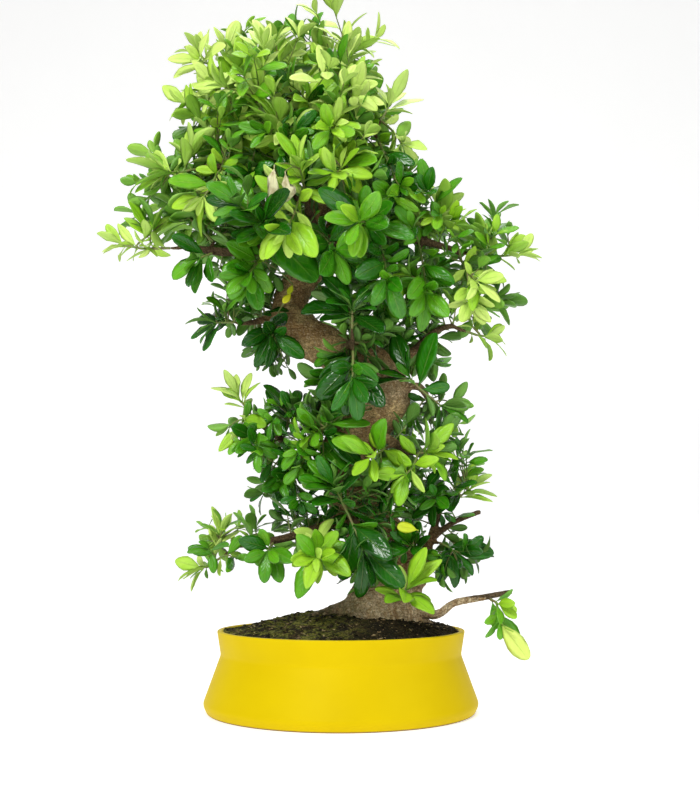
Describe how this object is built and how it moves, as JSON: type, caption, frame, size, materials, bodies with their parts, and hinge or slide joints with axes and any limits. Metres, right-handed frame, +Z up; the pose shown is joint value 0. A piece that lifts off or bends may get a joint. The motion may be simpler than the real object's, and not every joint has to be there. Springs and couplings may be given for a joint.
{
  "type": "firethorn bonsai in a pot",
  "caption": "Firethorn bonsai with an old twisted trunk, leafy sprays on bowed limbs and a mound of soil, built in a round glazed pot.",
  "frame": {"origin": "centre of the flat underside of the pot", "axes": "+Z up along the tree, -Y towards the viewer of the picture, +X to the viewer's right"},
  "size_m": [0.397, 0.2686, 0.6551],
  "materials": {
    "pot_glaze": "satin",
    "soil": "matte",
    "bark": "rough",
    "young_leaves": "satin",
    "mature_leaves": "gloss"
  },
  "bodies": {
    "root": {"pot": "pot_glaze", "soil": "soil", "trunk": "bark", "spray_01_leader": "young_leaves", "spray_02_leader": "young_leaves", "spray_03_top_right": "young_leaves", "spray_04_top_right": "young_leaves", "spray_05_top_right": "young_leaves", "spray_06_top_back": "young_leaves", "spray_07_top_back": "mature_leaves", "spray_08_top_left": "young_leaves", "spray_09_top_left": "young_leaves", "spray_10_top_left": "young_leaves", "spray_11_right_upper": "young_leaves", "spray_12_right_upper": "mature_leaves", "spray_13_right_upper": "young_leaves", "spray_14_left_upper": "young_leaves", "spray_15_left_upper": "young_leaves", "spray_16_left_upper": "young_leaves", "spray_17_left_back": "mature_leaves", "spray_18_left_back": "mature_leaves", "spray_19_right_arm": "young_leaves", "spray_20_right_arm": "young_leaves", "spray_21_right_arm": "young_leaves", "spray_22_right_arm": "mature_leaves", "spray_23_right_arm": "mature_leaves", "spray_24_right_arm": "mature_leaves", "spray_25_right_back": "mature_leaves", "spray_26_right_back": "mature_leaves", "spray_27_crown_front": "young_leaves", "spray_28_crown_front": "mature_leaves", "spray_29_left_arm": "young_leaves", "spray_30_left_arm": "mature_leaves", "spray_31_left_arm": "mature_leaves", "spray_32_left_arm": "mature_leaves", "spray_33_left_arm": "mature_leaves", "spray_34_hanging_left": "mature_leaves", "spray_35_hanging_left": "mature_leaves", "spray_36_bend_front": "mature_leaves", "spray_37_bend_front": "mature_leaves", "spray_38_right_lower": "young_leaves", "spray_39_right_lower": "mature_leaves", "spray_40_knob": "mature_leaves", "spray_41_mid_right": "young_leaves", "spray_42_mid_right": "young_leaves", "spray_43_mid_back": "mature_leaves", "spray_44_mid_left": "young_leaves", "spray_45_mid_left": "mature_leaves", "spray_46_mid_left": "mature_leaves", "spray_47_mid_left": "mature_leaves", "spray_48_low_left": "young_leaves", "spray_49_low_left": "mature_leaves", "spray_50_low_left": "young_leaves", "spray_51_low_front": "mature_leaves", "spray_52_low_back": "mature_leaves", "spray_53_low_right": "young_leaves", "spray_54_low_right": "mature_leaves", "spray_55_low_right": "mature_leaves", "spray_56_base_right": "mature_leaves", "spray_57_base_front": "young_leaves"}
  },
  "joints": []
}
